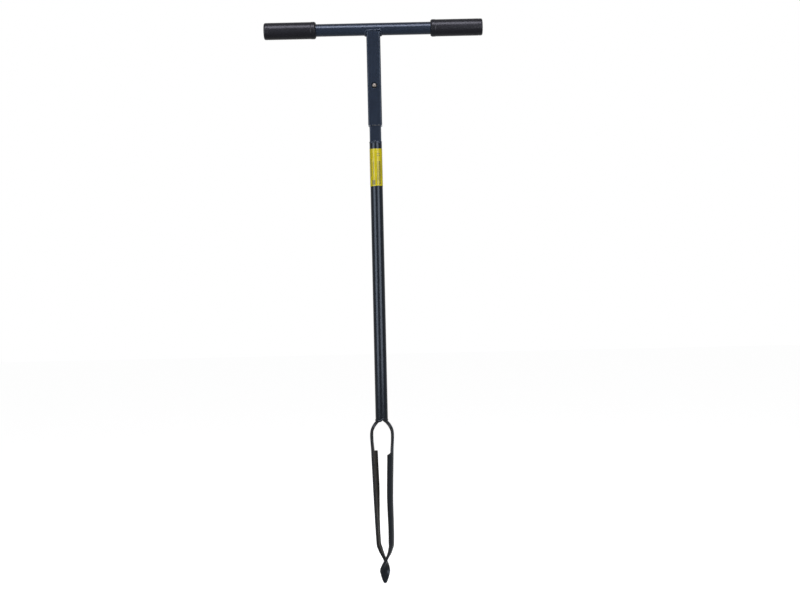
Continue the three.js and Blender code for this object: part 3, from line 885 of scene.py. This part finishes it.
class AUGER_OT_handle_welds(bpy.types.Operator):
    """Makes the beads that join the socket to the crossbar"""

    bl_idname = "auger.handle_welds"
    bl_label = "Handle welds"

    def execute(self, context):
        half = extent("socket_tube").x / 2
        # The bead on the front wall: up from the left wall, along the top of the front wall and
        # down to the right wall. Each knot is its place from the crossbar's middle, and its radius.
        crown = (
            (-16.4, -10.2, -9.6, 1.6),
            (-16.5, -13.0, -7.0, 1.9),
            (-15.2, -13.9, -4.8, 2.0),
            (-12.0, -13.9, -4.9, 1.8),
            (-6.0, -13.9, -4.7, 1.8),
            (0, -13.9, -4.6, 1.8),
            (6.0, -13.9, -4.5, 1.8),
            (12.0, -13.9, -4.3, 1.9),
            (15.2, -13.7, -3.3, 2.2),
            (16.6, -12.8, -5.6, 1.9),
            (16.4, -10.2, -9.6, 1.6),
        )
        for name, side, seed in (("front", 1, 3), ("back", -1, 8)):
            knots = []
            for x, y, z, radius in crown:
                place = Vector((side * x, side * y, 0)) * MM
                knots.append((place + Z_AXIS * (CROSSBAR_HEIGHT + z * MM), radius * MM))
            bead = weld_bead(knots, lambda place: Vector((0, -side, 0.4)), seed)
            roughened(bead, 0.25 * MM, 2.6 * MM, seed)
            new_bead(f"handle_weld_{name}", bead, "handle", "handle")
        # A side's bead goes round the underside of the crossbar, in the corner it makes with the
        # wall, and is wide along the crossbar.
        reach = TUBE_RADIUS - 0.5 * MM
        for name, side, seed in (("left", -1, 5), ("right", 1, 6)):
            knots = []
            for angle in range(-60, 61, 12):
                turn = math.radians(angle)
                down = Vector((0, math.sin(turn), -math.cos(turn)))
                place = X_AXIS * side * (half + 0.8 * MM) + Z_AXIS * CROSSBAR_HEIGHT + down * reach
                knots.append((place, 2.6 * MM))
            bead = weld_bead(knots, lambda place: X_AXIS * side, seed, aspect=1.3, swelling=0.2)
            roughened(bead, 0.4 * MM, 2.6 * MM, seed)
            new_bead(f"handle_weld_{name}", bead, "handle", "handle")
        return {"FINISHED"}


# ---- The lock button ----


class AUGER_OT_snap_button(bpy.types.Operator):
    """Makes the domed button that locks the socket on the spigot"""

    bl_idname = "auger.snap_button"
    bl_label = "Lock button"

    def execute(self, context):
        sizes = context.scene.auger_sizes
        low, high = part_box("snap_button")
        peak = -low.y
        back = -high.y
        # A flange behind the spigot's wall, 0.3 mm clear of it, keeps the button in.
        flange = (high.x - low.x) / 2
        flange_front = extent("spigot_tube").y / 2 - sizes.square_wall - 0.3 * MM
        flange_back = flange_front - 1.2 * MM
        stem = 2.4 * MM
        radius = sizes.button_radius
        profile = [
            (0, back, 0),
            (stem, back, 0.3 * MM),
            (stem, flange_back, 0),
            (flange, flange_back, 0.2 * MM),
            (flange, flange_front, 0.2 * MM),
            (radius, flange_front, 0),
        ]
        # The dome's outline is a quarter of an oval, from its rim up to its crown.
        dome = 3.2 * MM
        steps = 20
        for i in range(steps + 1):
            angle = i / steps * math.pi / 2
            across = 0 if i == steps else radius * math.cos(angle)
            profile.append((across, peak - dome + dome * math.sin(angle), 0))
        button = facing_front(turned(profile, 64))
        moved(button, (0, 0, BUTTON_HEIGHT))
        new_piece("lock_button", button, finish_of("button"), "button", "snap_button")
        return {"FINISHED"}


class AUGER_OT_snap_spring(bpy.types.Operator):
    """Makes the hairpin spring behind the button, which bends as the button goes in"""

    bl_idname = "auger.snap_spring"
    bl_label = "Button spring"

    def execute(self, context):
        low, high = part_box("snap_spring")
        thick = 0.9 * MM
        front, back = low.y + thick / 2, high.y - thick / 2
        bend = 6 * MM
        bend_height = high.z - bend - thick / 2
        # Up the front leg, which is straight behind the button, over the bend and down the back leg.
        points = [Vector((0, front, low.z)), Vector((0, front, BUTTON_HEIGHT + 9 * MM))]
        steps = 16
        for i in range(steps + 1):
            angle = math.pi * (1 - i / steps)
            points.append(Vector((0, bend * math.cos(angle), bend_height + bend * math.sin(angle))))
        points.append(Vector((0, back, low.z)))
        bm = bmesh.new()
        edges = wire(bm, [(point + X_AXIS * low.x, 0) for point in points], closed=False)
        grown(bm, edges, (high.x - low.x, 0, 0))
        bmesh.ops.solidify(bm, geom=list(bm.faces), thickness=thick)
        spring = face_outwards(bm)
        reach = [vert.co.y for vert in spring.verts]
        moved(spring, (0, middle("snap_spring").y - (min(reach) + max(reach)) / 2, 0))
        eased(spring, 0.15 * MM, sharper_than=70, segments=1)
        finish = finish_of("spring")
        piece = new_piece("hairpin_spring", spring, finish, None, "snap_spring")
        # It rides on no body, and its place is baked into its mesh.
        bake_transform(piece)
        return {"FINISHED"}


# ---- The shaft ----


class AUGER_OT_shaft_tube(bpy.types.Operator):
    """Makes the long round tube"""

    bl_idname = "auger.shaft_tube"
    bl_label = "Shaft"

    def execute(self, context):
        sizes = context.scene.auger_sizes
        low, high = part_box("shaft_tube")
        tube = round_tube(low.z, high.z, TUBE_RADIUS, sizes.tube_wall, sizes.cut_edge)
        new_piece("shaft", tube, finish_of("shaft"), "shaft", "shaft_tube")
        return {"FINISHED"}


class AUGER_OT_label(bpy.types.Operator):
    """Makes the film wrapped round the shaft"""

    bl_idname = "auger.label"
    bl_label = "Label"

    def execute(self, context):
        low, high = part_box("label")
        tall = high.z - low.z
        inner = TUBE_RADIUS + 0.05 * MM
        thickness = 0.3 * MM
        # The film's two ends leave a gap of this angle behind the shaft.
        seam = math.radians(16)
        bm = bmesh.new()
        start = bm.verts.new((inner * math.sin(seam / 2), inner * math.cos(seam / 2), low.z))
        wrap = seam - 2 * math.pi
        bmesh.ops.spin(bm, geom=[start], cent=(0, 0, 0), axis=Z_AXIS, angle=wrap, steps=120)
        rows = 12
        ring = list(bm.edges)
        for _ in range(rows):
            ring = grown(bm, ring, (0, 0, tall / rows))
        # The film was cut by hand and put on a little askew, so its edges slope and wander.
        for vert in bm.verts:
            around = math.atan2(vert.co.x, -vert.co.y)
            share = (vert.co.z - low.z) / tall
            wander = 0.35 * math.sin(3 * around + 0.8) + 0.2 * math.sin(7 * around)
            vert.co.z += (1 - share) * (0.7 + 0.3 * math.sin(around) + wander) * MM
            vert.co.z -= share * (1.3 + 0.25 * math.sin(2 * around + 2)) * MM
        bmesh.ops.recalc_face_normals(bm, faces=bm.faces)
        bmesh.ops.solidify(bm, geom=list(bm.faces), thickness=-thickness)
        face_outwards(bm)
        film = bm.loops.layers.uv.new("film")
        for face in bm.faces:
            for loop in face.loops:
                around = math.atan2(loop.vert.co.x, -loop.vert.co.y)
                loop[film].uv = (around * TUBE_RADIUS, loop.vert.co.z - low.z)
        new_piece("label_wrap", bm, finish_of("film"), "shaft", "label", smooth_below=50)
        return {"FINISHED"}


# ---- The blades ----

# The right blade's spine in the XZ plane, from its tang inside the shaft down to the tip, in
# millimetres.
SPINE_KNOTS = (
    (3.6, 382), (3.6, 372), (3.6, 364), (3.6, 358.4), (5.2, 353.7), (9.6, 350.2), (15.2, 343.8),
    (19.2, 337.2), (21.6, 330.6), (22.4, 323), (22.2, 309), (21.4, 289), (20.7, 263), (19.4, 223),
    (18.1, 179), (17.3, 130), (16.6, 98), (15.5, 81), (13.3, 74.7), (10.9, 68), (7.5, 61.7),
    (3.6, 55), (1, 49), (0, 43), (0, 20), (0, 0.2),
)
SPINE = Route(spline([Vector((x, 0, z)) * MM for x, z in SPINE_KNOTS]))
# The rest of the blades' sizes, also in millimetres, with heights above the tip.
PLATE_THICKNESS = 6
TANG_HALF_WIDTH = 7.6
ARM_HALF_WIDTH = 10
WING_HALF_WIDTH = 22.4
POINT_HALF_WIDTH = 11
POINT_WIDEST = 26
POINT_TWIST = math.radians(100)
# Half the width of the seam down the point, and the most that it is of the point's half width.
POINT_SEAM = 2.5
POINT_SEAM_SHARE = 0.28
# Below this height the two blades lie side by side, with a seam between, and make the point.
CROSSING = 52
# Between these heights the arm narrows to the tang that the shaft takes in.
TANG_NARROWING = (337, 347)
# The wing curls away from this far across the blade, to this radius.
WING_BEND_START = 3
WING_BEND_RADIUS = 18
# The rounding of the corner between the arm and the wing's top edge, and of the wing's corner.
ARM_CORNER = 2.2
WING_CORNER = 1.4


def leaf_half_width(height):
    """The point's outer half width, which is no limit above its widest place."""
    if height > POINT_WIDEST:
        return math.inf
    blunt = 0.2
    return POINT_HALF_WIDTH * math.sqrt((max(height, 0) + blunt) / POINT_WIDEST)


def back_edge(height):
    """The place of the blade's straight edge across its width."""
    relief = (ARM_HALF_WIDTH - TANG_HALF_WIDTH) * smoothstep(height, *TANG_NARROWING)
    taper = (ARM_HALF_WIDTH + POINT_SEAM) * falling(height, CROSSING + 4, 125)
    return min(relief + taper - ARM_HALF_WIDTH, POINT_SEAM_SHARE * leaf_half_width(height))


def front_edge(height, wing_top, waist, neck_top):
    """The place of the arm's front edge above the wing, and of the wing's edge below its top,
    which comes in by the waist low on the blade and runs into the point from the neck's top."""
    if height > wing_top:
        relief = (ARM_HALF_WIDTH - TANG_HALF_WIDTH) * smoothstep(height, *TANG_NARROWING)
        return ARM_HALF_WIDTH - relief
    neck = WING_HALF_WIDTH - POINT_HALF_WIDTH - waist
    wing = WING_HALF_WIDTH - waist * falling(height, 105, 220)
    wing -= neck * falling(height, CROSSING - 6, neck_top)
    return min(wing, leaf_half_width(height))


def plate_thickness(height):
    """The blade's thickness at a height: thicker at the shoulder, drawn out at the point."""
    shoulder = 0.6 * smoothstep(height, 290, 325) * falling(height, 346, 354)
    return PLATE_THICKNESS + shoulder - 2.8 * falling(height, 0, 45)


def point_twist(height):
    """How far the blades are twisted round each other at a height."""
    return POINT_TWIST * falling(height, 8, CROSSING + 4)


def bent(place):
    """A point of the flat plate, bent to the blade. The flat plate has X down the spine, Y
    across and Z out, in metres."""
    centre, down = SPINE.at(place.x)
    height = centre.z / MM
    twist = point_twist(height)
    across = Vector((-math.sin(twist), -math.cos(twist), 0))
    outward = across.cross(down).normalized()
    # The wing's curl runs out above and below, where the plate is as good as flat.
    curl = smoothstep(height, 46, 70) * falling(height, 285, 313)
    bend = max(curl / WING_BEND_RADIUS, 1e-4) / MM
    start = WING_BEND_START * MM
    turn = max(place.y - start, 0) * bend
    face = outward * math.cos(turn) + across * math.sin(turn)
    centre = centre + across * (min(place.y, start) + math.sin(turn) / bend)
    return centre + outward * ((math.cos(turn) - 1) / bend) + face * place.z


def swayed(bm):
    """Shifts the blades a little to the right above the point, where the real pair was bent."""
    most = 1.9 * MM
    for vert in bm.verts:
        height = vert.co.z / MM
        vert.co.x += most * smoothstep(height, 24, 66) * falling(height, 84, 200)
    return bm


def down_to(height):
    """How far down the spine a height in millimetres lies, in metres."""
    low, high = 0, SPINE.length
    halvings = 40
    for _ in range(halvings):
        half = (low + high) / 2
        if SPINE.at(half)[0].z > height * MM:
            low = half
        else:
            high = half
    return low


def height_at(row):
    """The height in millimetres at a distance down the spine."""
    return SPINE.at(row)[0].z / MM


def hollow_side(place):
    """1 on the flat plate's inner face, and falling off round its edges and down the point."""
    half = plate_thickness(height_at(place.x)) * MM / 2
    return falling(place.z, -half, half * 0.4) * smoothstep(height_at(place.x), 24, 60)


def flat_plate(wing_top, slope, waist, neck_top):
    """The blade as a flat cut plate, before it is bent. slope is how far the wing's top edge
    drops for each millimetre of its width."""
    step = 1.5 * MM
    count = int(SPINE.length / step)
    rows = [SPINE.length * i / count for i in range(count + 1)]
    back = [(Vector((row, back_edge(height_at(row)) * MM, 0)), 0) for row in rows]
    wing_corner = down_to(wing_top - slope * (WING_HALF_WIDTH - ARM_HALF_WIDTH))
    arm_corner = down_to(wing_top)
    edge = []
    for row in rows:
        place = front_edge(height_at(row), wing_top, waist, neck_top)
        edge.append((Vector((row, place * MM, 0)), 0))
    # The edge's points keep clear of the roundings at the arm's corner and the wing's.
    front = [corner for corner in edge if corner[0].x < arm_corner - 3 * MM]
    front.append((Vector((arm_corner, ARM_HALF_WIDTH * MM, 0)), ARM_CORNER * MM))
    front.append((Vector((wing_corner, WING_HALF_WIDTH * MM, 0)), WING_CORNER * MM))
    front += [corner for corner in edge if corner[0].x > wing_corner + 2 * MM]
    bm = bmesh.new()
    wire(bm, back + front[::-1])
    bmesh.ops.contextual_create(bm, geom=list(bm.edges))
    # Rows and columns of vertices, at which the plate can bend.
    for row in rows[1:-1]:
        sliced(bm, (row, 0, 0), X_AXIS)
    for i in range(-5, 15):
        sliced(bm, (0, i * step, 0), Y_AXIS)
    raised = verts_of(bmesh.ops.extrude_face_region(bm, geom=list(bm.faces))["geom"])
    for vert in bm.verts:
        half = plate_thickness(height_at(vert.co.x)) * MM / 2
        vert.co.z = half if vert in raised else -half
    bmesh.ops.recalc_face_normals(bm, faces=bm.faces)
    return bm


class AUGER_OT_blades(bpy.types.Operator):
    """Makes the two blades: plates cut flat, bent along their spines and curled at the wings"""

    bl_idname = "auger.blades"
    bl_label = "Blades"

    def execute(self, context):
        sizes = context.scene.auger_sizes
        # The wings were cut by hand, so they differ: (name, side, top, its slope, waist, neck's top).
        wings = (("right", 1, 283, 0.3, 2.2, 94), ("left", -1, 285.7, 0, 6.4, 76))
        for name, side, *cut in wings:
            plate = eased(flat_plate(*cut), sizes.blade_edge, sharper_than=60, segments=3)
            mark(plate, "inside", hollow_side)
            for vert in plate.verts:
                vert.co = bent(vert.co)
            if side < 0:
                bmesh.ops.transform(plate, verts=plate.verts, matrix=HALF_TURN)
            swayed(plate)
            face_outwards(plate)
            roughened(plate, 0.12 * MM, 14 * MM, 2 + side)
            finish = finish_of("blade")
            node = f"{name}_blade"
            new_piece(f"{name}_bent_blade", plate, finish, "shaft", node, smooth_below=40)
        return {"FINISHED"}


class AUGER_OT_shaft_welds(bpy.types.Operator):
    """Makes the beads of the spigot, the yoke and the point"""

    bl_idname = "auger.shaft_welds"
    bl_label = "Shaft welds"

    def execute(self, context):
        self.spigot_bead()
        self.yoke_beads()
        self.point_bead()
        return {"FINISHED"}

    def spigot_bead(self):
        """Round the butt joint of the square spigot and the round shaft: low and arched on the
        flats, thick under the corners, which overhang the shaft."""
        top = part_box("shaft_tube")[1].z
        knots = []
        steps = 24
        for i in range(steps + 1):
            angle = i / steps * 2 * math.pi
            at_corner = (1 - math.cos(4 * angle)) / 2
            reach = TUBE_RADIUS - 2.1 * MM + 1.4 * MM * at_corner
            lift = 0.9 * MM - 2.6 * MM * at_corner + 0.4 * MM * math.sin(3 * angle + 1)
            place = Vector((reach * math.cos(angle), reach * math.sin(angle), top + lift))
            knots.append((place, 1.75 * MM + 1.0 * MM * at_corner))
        bead = weld_bead(knots, outwards, 4, closed=True)
        roughened(bead, 0.35 * MM, 2.8 * MM, 4)
        new_bead("spigot_weld", bead, "shaft", "handle")

    def yoke_beads(self):
        """Round the shaft's lower end: a shoulder bead on the outside of either arm, and a bead
        across the gap between the arms in front and behind."""
        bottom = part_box("shaft_tube")[0].z
        reach = TUBE_RADIUS - 1.9 * MM
        for name, side, seed, radius in (("right", 1, 11, 2.3), ("left", -1, 12, 2.6)):
            knots = []
            for angle in range(-40, 41, 10):
                turn = math.radians(angle)
                lift = -2.2 * MM + 1.2 * MM * (1 - math.cos(2 * turn))
                place = Vector((side * reach * math.cos(turn), reach * math.sin(turn), bottom + lift))
                knots.append((place, radius * MM))
            bead = weld_bead(knots, lambda place: X_AXIS * side, seed, swelling=0.16)
            roughened(bead, 0.4 * MM, 3 * MM, seed)
            new_bead(f"yoke_weld_{name}", bead, "shaft", "blade")
        # Each knot is (place across the gap, height above the shaft's end, radius). The front
        # bead was laid last and hangs in a lump on its left.
        front = (
            (-10.6, -1.4, 2.4),
            (-6.5, -3.4, 2.6),
            (-3, -3.2, 2.5),
            (0.5, -1.4, 2.2),
            (4, 0.2, 2.1),
            (10.6, -0.8, 2.4),
        )
        back = ((-10.6, -0.8, 2.3), (-4, -0.4, 2.1), (0, -0.3, 2.1), (4, -0.4, 2.1), (10.6, -0.8, 2.3))
        for name, side, seed, row in (("front", -1, 13, front), ("back", 1, 14, back)):
            knots = []
            for x, lift, radius in row:
                y = side * math.sqrt((TUBE_RADIUS - 1.2 * MM) ** 2 - (x * MM) ** 2)
                knots.append((Vector((x * MM, y, bottom + lift * MM)), radius * MM))
            bead = weld_bead(knots, outwards, seed, swelling=0.16)
            roughened(bead, 0.45 * MM, 3 * MM, seed)
            new_bead(f"yoke_weld_{name}", bead, "shaft", "blade")

    def point_bead(self):
        """Between the two halves of the point: a twisted rod of oval section, ground smooth."""
        ripple_length = 4.2
        stations = []
        steps = 60
        low, high = 0.35, CROSSING + 2
        for i in range(steps + 1):
            share = i / steps
            height = low + (high - low) * share
            twist = point_twist(height)
            across = Vector((-math.sin(twist), -math.cos(twist), 0))
            rounding = math.sqrt(min(1, 10 * share + 0.4, 8 * (1 - share) + 0.1))
            ripple = 0.97 + 0.05 * abs(math.sin(math.pi * (height - low) / ripple_length))
            width = (back_edge(height) + 0.5) * rounding * MM
            out = (plate_thickness(height) / 2 + 0.4) * rounding * ripple * MM
            stations.append(station(Z_AXIS * height * MM, Z_AXIS, across.cross(Z_AXIS), width, out))
        rod = swayed(sweep(bmesh.new(), stations, sides=24))
        roughened(rod, 0.1 * MM, 3 * MM, 15)
        new_bead("point_weld", rod, "shaft", "blade")


# ---- The stage ----

WHITE = (1, 1, 1, 1)


def seen_ray(tree):
    """1 for the rays that show the surroundings: straight to the camera, in a mirror or through
    glass."""
    ray = add_node(tree, "LightPath", gives=None).outputs
    seen = ray["Is Camera Ray"]
    for kind in ("Is Glossy Ray", "Is Transmission Ray"):
        seen = add_node(tree, "Math", {"operation": "MAXIMUM"}, {0: seen, 1: ray[kind]})
    return seen


class AUGER_OT_stage(bpy.types.Operator):
    """Makes the pale floor, the white surroundings, the lamps and the camera"""

    bl_idname = "auger.stage"
    bl_label = "Stage"

    def execute(self, context):
        stage = context.scene.auger_stage
        self.world(context.scene, stage.fill)
        self.floor()
        self.camera(context.scene, stage)
        self.lamps(stage)
        return {"FINISHED"}

    def lamps(self, stage):
        """Soft boxes on either side in front, overhead and behind. All but the last are pairs: one
        lights the pieces at a plain level, and one shows only in reflections, as the streaks that
        run down the tubes and along the crossbar."""
        high = CAD_BOUNDS[1].z
        # Each is its name, its place, the height it aims at, its width and height, the watts of
        # its light and of its sheen, and its tint.
        boxes = (
            ("left", (-1.16, -1.24, 1.06), 1.0, (1.1, 1.5), stage.side_light, stage.side_sheen, "#f0f4ff"),
            ("right", (0.93, -1.42, 1.06), 1.0, (1.1, 1.5), stage.side_light, stage.side_sheen, "#f4f6ff"),
            ("top", (0, -0.8, high + 0.9), high, (1.4, 0.6), stage.top_light, stage.top_sheen, "#f2f0ff"),
            ("rear", (0, 1.8, 1.5), 0.7, (1.6, 1.6), stage.rear_light, 0, "#ffffff"),
        )
        for name, place, aim, (width, tall), light, sheen, tint in boxes:
            # A ray stops at the first of two lamps in one place, so the pair stands a little apart.
            for kind, watts, back in (("light", light, 1.03), ("sheen", sheen, 1)):
                if not watts:
                    continue
                lamp = bpy.data.lights.new(f"{name}_{kind}", "AREA")
                lamp.shape = "RECTANGLE"
                lamp.size = width
                lamp.size_y = tall
                lamp.energy = watts
                lamp.color = linear(tint)
                holder = new_object(lamp.name, lamp)
                holder.location = Vector(place) * back
                towards = Vector((0, 0, aim)) - Vector(place)
                holder.rotation_euler = towards.to_track_quat("-Z", "Y").to_euler()
                holder.visible_camera = False
                holder.visible_glossy = kind == "sheen"
                holder.visible_diffuse = kind == "light"

    def world(self, scene, fill):
        """White where it is seen, also in reflections, and a plain grey fill on the pieces."""
        scene.world = bpy.data.worlds.new("surroundings")
        tree = emptied_tree(scene.world)
        light = add_node(tree, "Background", {"Color": WHITE, "Strength": fill})
        white = add_node(tree, "Background", {"Color": WHITE, "Strength": 1})
        both = add_node(tree, "MixShader", links={0: seen_ray(tree), 1: light, 2: white})
        add_node(tree, "OutputWorld", links={"Surface": both}, gives=None)

    def floor(self):
        """A plain white floor that keeps the auger's shadow."""
        bm = bmesh.new()
        bmesh.ops.create_grid(bm, x_segments=8, y_segments=8, size=12)
        moved(bm, (0, 0, -0.2 * MM))
        floor = new_object("floor", mesh_from("floor", bm))
        material = bpy.data.materials.new("pale_floor")
        floor.data.materials.append(material)
        tree = emptied_tree(material)
        # Its own glow makes it white where it is seen, and a shadow takes away what its paint adds.
        paint = add_node(tree, "BsdfDiffuse", {"Color": (0.55, 0.55, 0.55, 1)})
        lift = {"operation": "MULTIPLY", 1: 0.82}
        lift = add_node(tree, "Math", lift, {0: seen_ray(tree)})
        glow = add_node(tree, "Emission", {"Color": WHITE}, {"Strength": lift})
        both = add_node(tree, "AddShader", links={0: paint, 1: glow})
        add_node(tree, "OutputMaterial", links={"Surface": both}, gives=None)

    def camera(self, scene, stage):
        """A level camera in front, turned a little about its line of sight."""
        camera = bpy.data.cameras.new("camera")
        camera.lens = camera.sensor_width * stage.camera_distance / stage.view_width
        camera.clip_end = 100
        holder = new_object("camera", camera)
        holder.location = (stage.camera_aside, -stage.camera_distance, stage.camera_height)
        level = Matrix.Rotation(math.pi / 2, 4, "X")
        roll = Matrix.Rotation(-stage.camera_roll, 4, "Z")
        holder.rotation_euler = (level @ roll).to_euler()
        scene.camera = holder
        scene.view_settings.view_transform = "Standard"


# ---- The panel and the run ----

PIECE_OPERATORS = (
    AUGER_OT_crossbar,
    AUGER_OT_grips,
    AUGER_OT_square_tubes,
    AUGER_OT_handle_welds,
    AUGER_OT_snap_button,
    AUGER_OT_snap_spring,
    AUGER_OT_shaft_tube,
    AUGER_OT_label,
    AUGER_OT_blades,
    AUGER_OT_shaft_welds,
    AUGER_OT_stage,
)


class AUGER_PT_panel(bpy.types.Panel):
    """Lists the auger's sizes, colours, lamps and operators"""

    bl_idname = "AUGER_PT_panel"
    bl_label = "Soil auger"
    bl_space_type = "VIEW_3D"
    bl_region_type = "UI"
    bl_category = "Auger"

    def draw(self, context):
        layout = self.layout
        scene = context.scene
        for group in (scene.auger_sizes, scene.auger_colours, scene.auger_stage):
            box = layout.box()
            for name in group.bl_rna.properties.keys():
                if name not in ("rna_type", "name"):
                    box.prop(group, name)
        for operator in PIECE_OPERATORS:
            layout.operator(operator.bl_idname)


PROPERTY_GROUPS = {
    "auger_sizes": AugerSizes,
    "auger_colours": AugerColours,
    "auger_stage": AugerStage,
}
CLASSES = (*PROPERTY_GROUPS.values(), *PIECE_OPERATORS, AUGER_PT_panel)


def register():
    """Registers the classes and puts the property groups on the scene."""
    for cls in CLASSES:
        bpy.utils.register_class(cls)
    for name, group in PROPERTY_GROUPS.items():
        setattr(bpy.types.Scene, name, bpy.props.PointerProperty(type=group))


def unregister():
    """Takes everything back that register() added."""
    for name in PROPERTY_GROUPS:
        delattr(bpy.types.Scene, name)
    for cls in reversed(CLASSES):
        bpy.utils.unregister_class(cls)


def main():
    register()
    for operator in PIECE_OPERATORS:
        group, name = operator.bl_idname.split(".")
        getattr(getattr(bpy.ops, group), name)()


if __name__ == "__main__":
    main()
